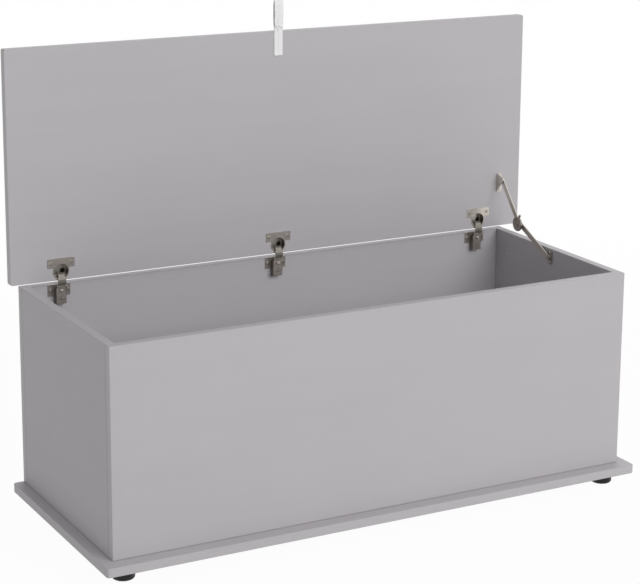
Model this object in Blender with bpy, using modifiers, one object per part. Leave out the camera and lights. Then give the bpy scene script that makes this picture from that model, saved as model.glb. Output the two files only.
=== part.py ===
"""Storage chest of 16 mm faced board, with its lid standing open.

A box of five boards stands on four glides. The lid turns on three concealed cup hinges, each with
an arm on the back panel, a bent link and a cup let into the lid, and a folding stay at the right
holds it. A ribbon loop at the middle of the lid's front edge pulls it up and down.

Frame: metres, +X to the right, +Y to the back, +Z up. The origin is on the floor, in the middle
of the base board. The side view's points are (y, z) pairs.
"""

import math

import bmesh
import bpy
from mathutils import Matrix, Vector

# Boards and the box
BOX_LENGTH = 1.000
BOX_DEPTH = 0.410
WALL_HEIGHT = 0.360
BOARD = 0.016
SEAM = 0.0003
EDGE_ROUND = 0.0010
BASE_OVERHANG_SIDE = 0.020
BASE_OVERHANG_FRONT = 0.026
BASE_CORNER_RADIUS = 0.006
LID_OVERHANG_SIDE = 0.024
LID_OVERHANG_FRONT = 0.004
LID_CORNER_RADIUS = 0.0035
LID_GAP_CLOSED = 0.002
LID_FACE_FROM_BACK = 0.029
LID_LIFT_OPEN = 0.006
LID_REAR_SETBACK = 0.003

# Glides under the base board
GLIDE_HEIGHT = 0.0215
GLIDE_RADIUS = 0.0195
GLIDE_SHOULDER = 0.0010
GLIDE_DOME = 0.0045
GLIDE_FROM_END = 0.024
GLIDE_FROM_FRONT = 0.0145
GLIDE_FROM_BACK = 0.026

# Cam fittings in the side panels
CAM_RADIUS = 0.0075
CAM_DEPTH = 0.0122
CAM_RECESS = 0.0002
CAM_FROM_CORNER = 0.034
CAM_FROM_RIM = 0.039
CAM_FROM_BASE = 0.040
CAM_SLOT_LENGTH = 0.0084
CAM_SLOT_WIDTH = 0.0016
CAM_SLOT_DEPTH = 0.0020

# Hinges: where they are, and the two pivots of each
HINGE_FROM_END = 0.069
MIDDLE_HINGE_LEFT = 0.0055
ARM_PIVOT_FROM_BACK = 0.0295
ARM_PIVOT_BELOW_RIM = 0.0018
LID_PIVOT_DEPTH = 0.0055
PIVOT_CLEARANCE = 0.00009

# Hinge arm and its mounting plate
ARM_WIDTH = 0.0186
ARM_SHEET = 0.0015
ARM_STANDOFF = 0.0120
ARM_TAIL_BELOW_RIM = 0.0350
ARM_TAIL_ROUND = 0.0030
ARM_SHOULDER_BELOW_RIM = 0.0090
ARM_WEB_BELOW_RIM = 0.0050
NOSE_RADIUS = 0.0024
NOSE_START_DEG = 62.0
NOSE_END_DEG = 205.0
ARM_PIN_RADIUS = 0.0014
ARM_SCREW_BELOW_RIM = 0.0092
ARM_SCREW_RADIUS = 0.0030
ARM_SLOT_BELOW_RIM = 0.0240
ARM_SLOT_HALF_WIDTH = 0.0022
ARM_SLOT_LENGTH = 0.0050
PLATE_WIDTH = 0.041
PLATE_HEIGHT = 0.0205
PLATE_SHEET = 0.0020
PLATE_BELOW_RIM = 0.0004
PLATE_ROUND = 0.0012
RAIL_WIDTH = 0.0144
RAIL_LENGTH = 0.0215
RAIL_BELOW_RIM = 0.0090

# Hinge link
LINK_SIDE_CLEARANCE = 0.0003
LINK_SHEET = 0.0020
LINK_HOOK_WIDTH = 0.0116
LINK_LID_EYE_RADIUS = 0.0025
# Shares of the distance between the pivots: along it, and out towards the room
LINK_NECK_SHARES = ((0.0, 0.0), (0.124, 0.168), (0.315, 0.284), (0.535, 0.342), (0.743, 0.339))
LINK_HOOK_SHARES = ((0.640, 0.344), (0.743, 0.339), (0.973, 0.266), (1.111, 0.154), (1.0, 0.0))

# Hinge cup
CUP_FROM_EDGE = 0.0196
CUP_RADIUS = 0.0137
CUP_WALL = 0.0007
CUP_DEPTH = 0.0127
CUP_FLOOR = 0.0006
CUP_RIM_RADIUS = 0.0149
CUP_RIM_SHEET = 0.0008
CUP_PIN_RADIUS = 0.0012
CUP_PIN_HALF_LENGTH = 0.0098
FLANGE_WIDTH = 0.050
FLANGE_HEIGHT = 0.0165
FLANGE_FROM_EDGE = 0.0344
FLANGE_ROUND = 0.0012

# Lid stay: pivots, arms and the drum where they meet
STAY_LID_PIVOT_UP = 0.097
STAY_LID_PIVOT_OUT = 0.017
STAY_KNUCKLE_FORWARD = 0.060
STAY_KNUCKLE_DOWN = 0.074
STAY_WALL_PIVOT_FROM_BACK = 0.202
STAY_WALL_PIVOT_BELOW_RIM = 0.016
STAY_ARM_WIDTH = 0.0100
STAY_ARM_SHEET = 0.0020
STAY_LAYER_GAP = 0.0003
STAY_PIN_RADIUS = 0.0020
STAY_HEAD_RADIUS = 0.0034
STAY_HEAD_SHEET = 0.0008
STAY_EAR_SHEET = 0.0015
STAY_EAR_RADIUS = 0.0055
LID_BRACKET_HEIGHT = 0.036
LID_BRACKET_SHEET = 0.0015
LID_BRACKET_TO_WALL = 0.0010
LID_BRACKET_WIDTH = 0.0105
LID_BRACKET_ABOVE_PIVOT = 0.0105
WALL_BRACKET_WIDTH = 0.012
WALL_BRACKET_HEIGHT = 0.026
WALL_BRACKET_SHEET = 0.0020
WALL_BRACKET_ROUND = 0.0030
WALL_BOSS_RADIUS = 0.0055
DRUM_RADIUS = 0.0140
DRUM_THICKNESS = 0.0040
DRUM_ROUND = 0.0010
DRUM_STUB_RADIUS = 0.0030
DRUM_BOSS_RADIUS = 0.0050
DRUM_BOSS_PROUD = 0.0012
KNOB_ANGLE_DEG = 112.0
KNOB_RADIUS = 0.0024
KNOB_LENGTH = 0.0042
KNOB_NECK_RADIUS = 0.0013
KNOB_NECK_LENGTH = 0.0020

# Ribbon pull
STRAP_WIDTH = 0.0173
STRAP_LEFT_OF_MIDDLE = 0.006
STRAP_TAIL = 0.044
STRAP_LOOP = 0.058
STRAP_PLY = 0.00065
STRAP_SEAT_GAP = 0.0002
STRAP_LOOP_HALF_GAP = 0.0042
STRAP_SEWN_PAST_EDGE = 0.0020
# Shares of the loop's height and of its half gap, up the front ply
STRAP_LOOP_SHARES = ((0.0, 0.0), (0.10, 0.35), (0.24, 0.75), (0.45, 1.0), (0.72, 0.98), (0.90, 0.72),
                     (0.98, 0.32))

# One overrun for all cuts, and the roundness of turned and bent forms
OVERRUN = 0.002
ROUND_STEPS = 32
SMALL_ROUND_STEPS = 16
CORNER_STEPS = 4
ROUND_PROFILE_SHARE = 0.5
MERGE = 0.00001
SMOOTH_ANGLE = math.radians(35)

# Places that follow from the sizes
BOX_FRONT = (BASE_OVERHANG_FRONT - BOX_DEPTH) / 2
BOX_BACK = BOX_FRONT + BOX_DEPTH
BASE_FRONT = BOX_FRONT - BASE_OVERHANG_FRONT
INNER_BACK = BOX_BACK - BOARD
INNER_FRONT = BOX_FRONT + BOARD
HALF_LENGTH = BOX_LENGTH / 2
INNER_SIDE = HALF_LENGTH - BOARD
BASE_TOP = GLIDE_HEIGHT + BOARD
RIM = BASE_TOP + WALL_HEIGHT
LID_DEPTH = BOX_DEPTH + LID_OVERHANG_FRONT
LID_FACE = BOX_BACK - LID_FACE_FROM_BACK
LID_EDGE = RIM + LID_LIFT_OPEN
LID_REAR = LID_EDGE + LID_REAR_SETBACK
LID_TOP = LID_EDGE + LID_DEPTH
LID_UNDERSIDE_CLOSED = RIM + LID_GAP_CLOSED
ARM_PIVOT = Vector((BOX_BACK - ARM_PIVOT_FROM_BACK, RIM - ARM_PIVOT_BELOW_RIM))


def closed_place(point):
    """Where a side-view point of the open lid comes to lie when the lid is shut."""
    into_lid = point[0] - LID_FACE
    from_edge = point[1] - LID_EDGE
    return Vector((BOX_BACK - from_edge, LID_UNDERSIDE_CLOSED + into_lid))


def lid_pivot():
    """The link's pivot in the open lid, equally far from the arm's pivot when open and shut.

    With the depth into the lid given, the two squared distances differ only by terms in the
    distance s from the lid's rear edge, and s follows from setting them equal.
    """
    open_y = LID_FACE + LID_PIVOT_DEPTH - ARM_PIVOT[0]
    open_z = LID_EDGE - ARM_PIVOT[1]
    shut_y = BOX_BACK - ARM_PIVOT[0]
    shut_z = LID_UNDERSIDE_CLOSED + LID_PIVOT_DEPTH - ARM_PIVOT[1]
    from_edge = (shut_y ** 2 + shut_z ** 2 - open_y ** 2 - open_z ** 2) / (2 * (open_z + shut_y))
    return Vector((LID_FACE + LID_PIVOT_DEPTH, LID_EDGE + from_edge))


LID_PIVOT = lid_pivot()
STAY_LID_PIVOT = Vector((LID_FACE - STAY_LID_PIVOT_OUT, LID_EDGE + STAY_LID_PIVOT_UP))
STAY_WALL_PIVOT = Vector((BOX_BACK - STAY_WALL_PIVOT_FROM_BACK, RIM - STAY_WALL_PIVOT_BELOW_RIM))
KNUCKLE = STAY_LID_PIVOT - Vector((STAY_KNUCKLE_FORWARD, STAY_KNUCKLE_DOWN))


def heading(run):
    """The direction of a side-view run, in degrees from the frame's +Y towards +Z."""
    return math.degrees(math.atan2(run[1], run[0]))


def stay_knuckle(lid_end):
    """Where the stay's arms meet for a place of the upper arm's pivot.

    It is the lower crossing of the two circles round the arms' pivots.
    """
    upper_squared = (KNUCKLE - STAY_LID_PIVOT).length_squared
    lower_squared = (KNUCKLE - STAY_WALL_PIVOT).length_squared
    reach = lid_end - STAY_WALL_PIVOT
    along = (lower_squared - upper_squared + reach.length_squared) / (2 * reach.length)
    out = math.sqrt(lower_squared - along ** 2)
    direction = reach.normalized()
    return STAY_WALL_PIVOT + direction * along + Vector((direction[1], -direction[0])) * out


# Layers of the stay from the lid bracket's ear towards the right side panel
BRACKET_SIDE = INNER_SIDE - LID_BRACKET_TO_WALL - LID_BRACKET_WIDTH
UPPER_ARM_LAYER = BRACKET_SIDE + STAY_EAR_SHEET + STAY_LAYER_GAP
LOWER_ARM_LAYER = UPPER_ARM_LAYER + STAY_ARM_SHEET + STAY_LAYER_GAP


def clear_scene():
    """Take away every object, so that the chest is all there is."""
    for scene_object in list(bpy.data.objects):
        bpy.data.objects.remove(scene_object, do_unlink=True)


def make_collection(name):
    """Make a collection under the scene's own."""
    collection = bpy.data.collections.new(name)
    bpy.context.scene.collection.children.link(collection)
    return collection


clear_scene()
CHEST = make_collection("storage_chest")
CUTTERS = make_collection("storage_chest_cutters")


def closing_turns():
    """Degrees that each joint turns from open to shut: link, lid on link, stay arms."""
    lid_shut = closed_place(LID_PIVOT)
    link_turn = heading(lid_shut - ARM_PIVOT) - heading(LID_PIVOT - ARM_PIVOT)
    stay_lid_shut = closed_place(STAY_LID_PIVOT)
    knuckle_shut = stay_knuckle(stay_lid_shut)
    upper_in_frame = heading(knuckle_shut - stay_lid_shut) - heading(KNUCKLE - STAY_LID_PIVOT)
    lower_turn = heading(knuckle_shut - STAY_WALL_PIVOT) - heading(KNUCKLE - STAY_WALL_PIVOT)
    return {"link_turn": link_turn, "lid_turn": 90 - link_turn, "stay_upper_turn": upper_in_frame - 90,
            "stay_lower_turn": lower_turn}


def make_material(name, colour, roughness, metallic):
    """Make a plain Principled material."""
    material = bpy.data.materials.new(name)
    material.use_nodes = True
    surface = material.node_tree.nodes["Principled BSDF"]
    surface.inputs["Base Color"].default_value = (*colour, 1.0)
    surface.inputs["Roughness"].default_value = roughness
    surface.inputs["Metallic"].default_value = metallic
    return material


def board_finish(name):
    """Pale warm grey melamine facing."""
    return make_material(name, (0.42, 0.40, 0.38), 0.55, 0.0)


def nickel_finish(name):
    """Nickel-plated steel."""
    return make_material(name, (0.52, 0.50, 0.47), 0.32, 1.0)


def dark_nickel_finish(name):
    """Dark plated steel of the stay's drum."""
    return make_material(name, (0.16, 0.15, 0.14), 0.40, 1.0)


def black_plastic_finish(name):
    """Black moulded plastic."""
    return make_material(name, (0.02, 0.02, 0.02), 0.50, 0.0)


def ribbon_finish(name):
    """White woven ribbon."""
    return make_material(name, (0.80, 0.80, 0.79), 0.85, 0.0)


def to_object(name, shape):
    """Turn a bmesh into an object of the chest."""
    bmesh.ops.recalc_face_normals(shape, faces=shape.faces[:])
    mesh = bpy.data.meshes.new(name)
    shape.to_mesh(mesh)
    shape.free()
    made = bpy.data.objects.new(name, mesh)
    CHEST.objects.link(made)
    return made


def box(name, low, high, upright_radius=0):
    """A box between two corners, its origin in its middle, with its upright edges rounded if asked."""
    low, high = Vector(low), Vector(high)
    shape = bmesh.new()
    bmesh.ops.create_cube(shape, size=1)
    bmesh.ops.scale(shape, vec=high - low, verts=shape.verts[:])
    if upright_radius:
        upright = [edge for edge in shape.edges if abs(edge.verts[0].co.z - edge.verts[1].co.z) > MERGE]
        bmesh.ops.bevel(shape, geom=upright, offset=upright_radius, segments=CORNER_STEPS, affect="EDGES",
                        profile=ROUND_PROFILE_SHARE)
    made = to_object(name, shape)
    made.location = (low + high) / 2
    return made


def rod(name, centre, radius, length, axis="X", steps=SMALL_ROUND_STEPS):
    """A cylinder about its centre, along a frame axis."""
    turns = {"X": Matrix.Rotation(math.pi / 2, 3, "Y"), "Y": Matrix.Rotation(math.pi / 2, 3, "X"),
             "Z": Matrix.Identity(3)}
    shape = bmesh.new()
    bmesh.ops.create_cone(shape, cap_ends=True, segments=steps, radius1=radius, radius2=radius,
                          depth=length)
    bmesh.ops.rotate(shape, matrix=turns[axis], verts=shape.verts[:])
    made = to_object(name, shape)
    made.location = centre
    return made


def from_curve(curve_object):
    """Replace a curve object by the mesh that it evaluates to, with its caps welded."""
    depsgraph = bpy.context.evaluated_depsgraph_get()
    mesh = bpy.data.meshes.new_from_object(curve_object.evaluated_get(depsgraph))
    shape = bmesh.new()
    shape.from_mesh(mesh)
    bmesh.ops.remove_doubles(shape, verts=shape.verts[:], dist=MERGE)
    shape.to_mesh(mesh)
    shape.free()
    name = curve_object.name
    placed = curve_object.matrix_world.copy()
    bpy.data.objects.remove(curve_object, do_unlink=True)
    made = bpy.data.objects.new(name, mesh)
    made.matrix_world = placed
    CHEST.objects.link(made)
    return made


def curve_in_side_view(name, points, cyclic, fill):
    """A 2D curve whose own plane is turned to the side view: its X is the frame's Y, its Y is Z."""
    data = bpy.data.curves.new(name, "CURVE")
    data.dimensions = "2D"
    data.fill_mode = fill
    spline = data.splines.new("POLY")
    spline.points.add(len(points) - 1)
    for place, point in zip(spline.points, points):
        place.co = (point[0], point[1], 0, 1)
    spline.use_cyclic_u = cyclic
    made = bpy.data.objects.new(name, data)
    made.matrix_world = Matrix(((0, 0, 1, 0), (1, 0, 0, 0), (0, 1, 0, 0), (0, 0, 0, 1)))
    CHEST.objects.link(made)
    return made


def side_plate(name, outline, low_x, high_x):
    """A flat plate in the side view: an outline of (y, z) points, between two x places."""
    made = curve_in_side_view(name, outline, True, "BOTH")
    made.data.extrude = (high_x - low_x) / 2
    made.location = ((low_x + high_x) / 2, 0, 0)
    bpy.context.view_layer.update()
    return from_curve(made)


def bent_strip(name, path, middle_x, width, thickness, cyclic=False):
    """A strip bent along a path of (y, z) points, as wide in x as given."""
    made = curve_in_side_view(name, path, cyclic, "NONE")
    made.data.extrude = width / 2
    made.location = (middle_x, 0, 0)
    bpy.context.view_layer.update()
    made = from_curve(made)
    thicken = made.modifiers.new("thickness", "SOLIDIFY")
    thicken.thickness = thickness
    thicken.offset = 0
    thicken.use_even_offset = True
    return made


def turned(name, profile, steps=ROUND_STEPS):
    """A turned piece about its own Z: (radius, height) points from the top, down the outer side."""
    mesh = bpy.data.meshes.new(name)
    mesh.from_pydata([(radius, 0, height) for radius, height in profile],
                     [(index, index + 1) for index in range(len(profile) - 1)], [])
    made = bpy.data.objects.new(name, mesh)
    CHEST.objects.link(made)
    screw = made.modifiers.new("turn", "SCREW")
    screw.axis = "Z"
    screw.steps = steps
    screw.render_steps = steps
    screw.use_merge_vertices = True
    screw.merge_threshold = MERGE
    return made


def arc(centre, radius, start_deg, end_deg, steps=CORNER_STEPS):
    """Points along an arc, both ends included."""
    angles = [math.radians(start_deg + (end_deg - start_deg) * step / steps) for step in range(steps + 1)]
    return [(centre[0] + radius * math.cos(angle), centre[1] + radius * math.sin(angle)) for angle in angles]


def rounded_rectangle(low, high, radius):
    """An outline with four round corners, anticlockwise."""
    corners = ((high[0] - radius, high[1] - radius, 0), (low[0] + radius, high[1] - radius, 90),
               (low[0] + radius, low[1] + radius, 180), (high[0] - radius, low[1] + radius, 270))
    return [point for y, z, start in corners for point in arc((y, z), radius, start, start + 90)]


def bar_outline(first, second, radius):
    """The outline of a flat bar with round ends about two pivots."""
    run = second - first
    along = heading(run)
    steps = 2 * CORNER_STEPS
    return (arc(first, radius, along + 90, along + 270, steps)
            + arc(second, radius, along - 90, along + 90, steps))


def combine(target, tool, operation):
    """Cut a tool from a piece, or join it on, and put the tool away with the cutters."""
    change = target.modifiers.new(f"{operation.lower()} {tool.name}", "BOOLEAN")
    change.operation = operation
    change.solver = "EXACT"
    change.object = tool
    tool.hide_render = True
    tool.display_type = "WIRE"
    for collection in list(tool.users_collection):
        collection.objects.unlink(tool)
    CUTTERS.objects.link(tool)
    return target


def round_edges(target, width, steps=2, angle=60):
    """Round a piece's sharp edges."""
    bevel = target.modifiers.new("round edges", "BEVEL")
    bevel.width = width
    bevel.segments = steps
    bevel.limit_method = "ANGLE"
    bevel.angle_limit = math.radians(angle)
    return target


def round_front_corners(target, radius):
    """Round the four corners that an upright box shows from the front."""
    weights = target.data.attributes.new("bevel_weight_edge", "FLOAT", "EDGE")
    for edge in target.data.edges:
        ends = [target.data.vertices[index].co for index in edge.vertices]
        weights.data[edge.index].value = 1.0 if abs(ends[0].y - ends[1].y) > MERGE else 0.0
    corners = target.modifiers.new("round corners", "BEVEL")
    corners.width = radius
    corners.segments = CORNER_STEPS
    corners.limit_method = "WEIGHT"
    return target


def finish(target, material, parent):
    """Give a piece its material and smooth shading, and hang it on the body that carries it."""
    target.data.materials.clear()
    target.data.materials.append(material)
    target.data.shade_smooth()
    if target.data.polygons:
        target.data.set_sharp_from_angle(angle=SMOOTH_ANGLE)
    target.parent = parent
    carried_from = Vector((0, 0, 0))
    while parent:
        carried_from += parent.location
        parent = parent.parent
    target.location -= carried_from
    for modifier in target.modifiers:
        if modifier.type == "BOOLEAN":
            modifier.object.parent = target.parent
            modifier.object.location -= carried_from
    return target


def make_axis(name, place, parent=None):
    """An empty on a joint's axis, which carries the pieces that turn on it."""
    axis = bpy.data.objects.new(name, None)
    axis.empty_display_type = "SINGLE_ARROW"
    axis.location = place
    axis.parent = parent
    if parent:
        carrier = parent
        while carrier:
            axis.location -= carrier.location
            carrier = carrier.parent
    CHEST.objects.link(axis)
    return axis


def make_walls(carcass):
    """The base board and the four walls, and the cam fittings that hold the corners."""
    wall_low = BASE_TOP + SEAM
    base = box("base_board", (-HALF_LENGTH - BASE_OVERHANG_SIDE, BASE_FRONT, GLIDE_HEIGHT),
               (HALF_LENGTH + BASE_OVERHANG_SIDE, BOX_BACK, BASE_TOP), upright_radius=BASE_CORNER_RADIUS)
    front = box("front_panel", (-HALF_LENGTH, BOX_FRONT, wall_low), (HALF_LENGTH, INNER_FRONT, RIM))
    back = box("back_panel", (-HALF_LENGTH, INNER_BACK, wall_low), (HALF_LENGTH, BOX_BACK, RIM))
    for board in (base, front, back):
        round_edges(board, EDGE_ROUND)
        finish(board, board_finish(board.name), carcass)
    for side, sign in (("left", -1), ("right", 1)):
        inner, outer = sign * INNER_SIDE, sign * HALF_LENGTH
        panel = box(f"{side}_side_panel", (min(inner, outer), INNER_FRONT + SEAM, wall_low),
                    (max(inner, outer), INNER_BACK - SEAM, RIM))
        round_edges(panel, EDGE_ROUND)
        for end, y in (("front", INNER_FRONT + CAM_FROM_CORNER), ("rear", INNER_BACK - CAM_FROM_CORNER)):
            for level, z in (("upper", RIM - CAM_FROM_RIM), ("lower", BASE_TOP + CAM_FROM_BASE)):
                make_cam(panel, f"cam_{side}_{end}_{level}", sign, y, z, carcass)
        finish(panel, board_finish(panel.name), carcass)


def make_cam(panel, name, sign, y, z, carcass):
    """A cam fitting in a blind bore of a side panel's inner face, with its driver slots."""
    bore_depth = CAM_DEPTH + CAM_RECESS + SEAM
    bore_middle = sign * (INNER_SIDE + (bore_depth - OVERRUN) / 2)
    bore = rod(f"bore {name}", (bore_middle, y, z), CAM_RADIUS + SEAM, bore_depth + OVERRUN)
    combine(panel, bore, "DIFFERENCE")
    cam = rod(name, (sign * (INNER_SIDE + CAM_RECESS + CAM_DEPTH / 2), y, z), CAM_RADIUS, CAM_DEPTH)
    face = sign * (INNER_SIDE + CAM_RECESS)
    reach = sorted((face - sign * OVERRUN, face + sign * CAM_SLOT_DEPTH))
    slot = box(f"slot {name}", (reach[0], y - CAM_SLOT_LENGTH / 2, z - CAM_SLOT_WIDTH / 2),
               (reach[1], y + CAM_SLOT_LENGTH / 2, z + CAM_SLOT_WIDTH / 2))
    combine(cam, slot, "DIFFERENCE")
    finish(cam, nickel_finish(name), carcass)


def make_glides(carcass):
    """Four round glides with domed lower edges, under the corners of the box."""
    top = GLIDE_HEIGHT - SEAM
    profile = [(0, top), (GLIDE_RADIUS - GLIDE_SHOULDER, top), (GLIDE_RADIUS, top - GLIDE_SHOULDER)]
    profile += [(radius, height) for radius, height in
                arc((GLIDE_RADIUS - GLIDE_DOME, GLIDE_DOME), GLIDE_DOME, 0, -90)]
    profile += [(0, 0)]
    rows = (("front", BOX_FRONT + GLIDE_FROM_FRONT), ("rear", BOX_BACK - GLIDE_FROM_BACK))
    for row, y in rows:
        for side, sign in (("left", -1), ("right", 1)):
            glide = turned(f"glide_{row}_{side}", profile)
            glide.location = (sign * (HALF_LENGTH - GLIDE_FROM_END), y, 0)
            finish(glide, black_plastic_finish(glide.name), carcass)


def make_mounting_plate(name, x, carcass):
    """The winged plate on the back panel, with the rail that the hinge arm slides on."""
    plate_back = INNER_BACK - SEAM
    plate_front = plate_back - PLATE_SHEET
    top = RIM - PLATE_BELOW_RIM
    plate = box(name, (x - PLATE_WIDTH / 2, plate_front, top - PLATE_HEIGHT),
                (x + PLATE_WIDTH / 2, plate_back, top))
    round_front_corners(plate, PLATE_ROUND)
    rail_top = RIM - RAIL_BELOW_RIM
    rail_front = INNER_BACK - ARM_STANDOFF + ARM_SHEET + SEAM
    rail = box(f"rail {name}", (x - RAIL_WIDTH / 2, rail_front, rail_top - RAIL_LENGTH),
               (x + RAIL_WIDTH / 2, plate_front + PLATE_SHEET / 2, rail_top))
    combine(plate, rail, "UNION")
    finish(plate, nickel_finish(name), carcass)


def arm_outline():
    """The side view of the hinge arm: a straight channel that cranks forward to a round nose."""
    front = INNER_BACK - ARM_STANDOFF
    back = INNER_BACK - SEAM - PLATE_SHEET - SEAM
    tail = RIM - ARM_TAIL_BELOW_RIM
    shoulder = RIM - ARM_SHOULDER_BELOW_RIM
    outline = [(back, tail), (back, shoulder)]
    outline += arc(ARM_PIVOT, NOSE_RADIUS, NOSE_START_DEG, NOSE_END_DEG, 2 * CORNER_STEPS)
    outline += [(front, ARM_PIVOT[1] - ARM_PIVOT_BELOW_RIM - NOSE_RADIUS)]
    outline += arc((front + ARM_TAIL_ROUND, tail + ARM_TAIL_ROUND), ARM_TAIL_ROUND, 180, 270)
    return outline


def make_arm(name, x, carcass):
    """The hinge arm: a sheet channel open to the back, with two ears and a pin at its nose."""
    half = ARM_WIDTH / 2
    inside = half - ARM_SHEET
    front = INNER_BACK - ARM_STANDOFF
    arm = side_plate(name, arm_outline(), x - half, x + half)
    channel = box(f"channel {name}", (x - inside, front + ARM_SHEET, RIM - ARM_TAIL_BELOW_RIM - OVERRUN),
                  (x + inside, INNER_BACK, RIM + OVERRUN))
    mouth_front = ARM_PIVOT[0] - NOSE_RADIUS - OVERRUN
    mouth = box(f"mouth {name}", (x - inside, mouth_front, RIM - ARM_WEB_BELOW_RIM),
                (x + inside, INNER_BACK, RIM + OVERRUN))
    web_middle = front + ARM_SHEET / 2
    screw_hole = rod(f"screw hole {name}", (x, web_middle, RIM - ARM_SCREW_BELOW_RIM), ARM_SCREW_RADIUS,
                     ARM_SHEET + OVERRUN, "Y")
    slot_low = RIM - ARM_SLOT_BELOW_RIM - ARM_SLOT_LENGTH / 2
    slot = box(f"slot {name}", (x - ARM_SLOT_HALF_WIDTH, web_middle - OVERRUN, slot_low),
               (x + ARM_SLOT_HALF_WIDTH, web_middle + OVERRUN, slot_low + ARM_SLOT_LENGTH))
    for cutter in (channel, mouth, screw_hole, slot):
        combine(arm, cutter, "DIFFERENCE")
    pin = rod(f"pin {name}", (x, *ARM_PIVOT), ARM_PIN_RADIUS, 2 * inside + ARM_SHEET)
    combine(arm, pin, "UNION")
    finish(arm, nickel_finish(name), carcass)


def link_path(shares):
    """Side-view points of the link, from its shares of the distance between the pivots."""
    span = LID_PIVOT - ARM_PIVOT
    outward = Vector((-span[1], span[0]))
    return [ARM_PIVOT + span * along + outward * out for along, out in shares]


def make_link(name, x, link_axis):
    """The bent link: a wide neck round the lid's edge, and a narrower hook down into the cup."""
    neck_width = ARM_WIDTH - 2 * ARM_SHEET - 2 * LINK_SIDE_CLEARANCE
    link = bent_strip(name, link_path(LINK_NECK_SHARES), x, neck_width, LINK_SHEET)
    hook = bent_strip(f"hook {name}", link_path(LINK_HOOK_SHARES), x, LINK_HOOK_WIDTH, LINK_SHEET)
    arm_eye = rod(f"arm eye {name}", (x, *ARM_PIVOT), NOSE_RADIUS, neck_width)
    lid_eye = rod(f"lid eye {name}", (x, *LID_PIVOT), LINK_LID_EYE_RADIUS, LINK_HOOK_WIDTH)
    for joined in (hook, arm_eye, lid_eye):
        combine(link, joined, "UNION")
    through = ARM_WIDTH + OVERRUN
    arm_bore = rod(f"arm bore {name}", (x, *ARM_PIVOT), ARM_PIN_RADIUS + PIVOT_CLEARANCE, through)
    lid_bore = rod(f"lid bore {name}", (x, *LID_PIVOT), CUP_PIN_RADIUS + PIVOT_CLEARANCE, through)
    for cut in (arm_bore, lid_bore):
        combine(link, cut, "DIFFERENCE")
    finish(link, nickel_finish(name), link_axis)


def make_cup(name, x, lid_axis):
    """The cup: a turned shell with a rim on the lid's face, a flange and the link's second pin."""
    centre = Vector((x, LID_FACE, LID_EDGE + CUP_FROM_EDGE))
    inner = CUP_RADIUS - CUP_WALL
    proud = SEAM + CUP_RIM_SHEET
    profile = [(0, CUP_FLOOR - CUP_DEPTH), (inner, CUP_FLOOR - CUP_DEPTH), (inner, proud),
               (CUP_RIM_RADIUS, proud), (CUP_RIM_RADIUS, SEAM), (CUP_RADIUS, SEAM),
               (CUP_RADIUS, -CUP_DEPTH), (0, -CUP_DEPTH)]
    cup = turned(name, profile)
    cup.rotation_euler = (math.pi / 2, 0, 0)
    cup.location = centre
    flange_z = LID_EDGE + FLANGE_FROM_EDGE
    flange = box(f"flange {name}", (x - FLANGE_WIDTH / 2, LID_FACE - proud, flange_z - FLANGE_HEIGHT / 2),
                 (x + FLANGE_WIDTH / 2, LID_FACE - SEAM, flange_z + FLANGE_HEIGHT / 2))
    round_front_corners(flange, FLANGE_ROUND)
    mouth_depth = CUP_DEPTH - CUP_FLOOR
    mouth = rod(f"mouth {name}", centre - Vector((0, proud, 0)), inner, 2 * mouth_depth, "Y", ROUND_STEPS)
    pin = rod(f"pin {name}", (x, *LID_PIVOT), CUP_PIN_RADIUS, 2 * CUP_PIN_HALF_LENGTH)
    combine(cup, flange, "UNION")
    combine(cup, mouth, "DIFFERENCE")
    combine(cup, pin, "UNION")
    finish(cup, nickel_finish(name), lid_axis)


def make_lid(hinge_places, lid_axis):
    """The lid board, standing open, with a blind bore for each cup."""
    half = HALF_LENGTH + LID_OVERHANG_SIDE
    lid = box("lid_board", (-half, LID_FACE, LID_REAR), (half, LID_FACE + BOARD, LID_TOP))
    round_front_corners(lid, LID_CORNER_RADIUS)
    round_edges(lid, EDGE_ROUND)
    for x in hinge_places:
        bore = rod(f"cup bore {x:.3f}", (x, LID_FACE, LID_EDGE + CUP_FROM_EDGE), CUP_RADIUS + SEAM,
                   2 * (CUP_DEPTH + SEAM), "Y", ROUND_STEPS)
        combine(lid, bore, "DIFFERENCE")
    finish(lid, board_finish(lid.name), lid_axis)


def make_lid_bracket(lid_axis):
    """The angle on the lid's face: a plate beside the right edge, and an ear with the arm's pin."""
    face = LID_FACE - SEAM
    high_z = STAY_LID_PIVOT[1] + LID_BRACKET_ABOVE_PIVOT
    low_z = high_z - LID_BRACKET_HEIGHT
    plate_middle = face - LID_BRACKET_SHEET / 2
    plate = box("stay_lid_bracket", (BRACKET_SIDE, face - LID_BRACKET_SHEET, low_z),
                (BRACKET_SIDE + LID_BRACKET_WIDTH, face, high_z))
    ear_outline = [(plate_middle, low_z), (plate_middle, high_z)]
    ear_outline += arc(STAY_LID_PIVOT, STAY_EAR_RADIUS, 75, 245, 2 * CORNER_STEPS)
    ear = side_plate("ear stay_lid_bracket", ear_outline, BRACKET_SIDE, BRACKET_SIDE + STAY_EAR_SHEET)
    combine(plate, ear, "UNION")
    add_pin(plate, "lid", STAY_LID_PIVOT, BRACKET_SIDE + STAY_EAR_SHEET, UPPER_ARM_LAYER + STAY_ARM_SHEET)
    finish(plate, nickel_finish(plate.name), lid_axis)


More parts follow.
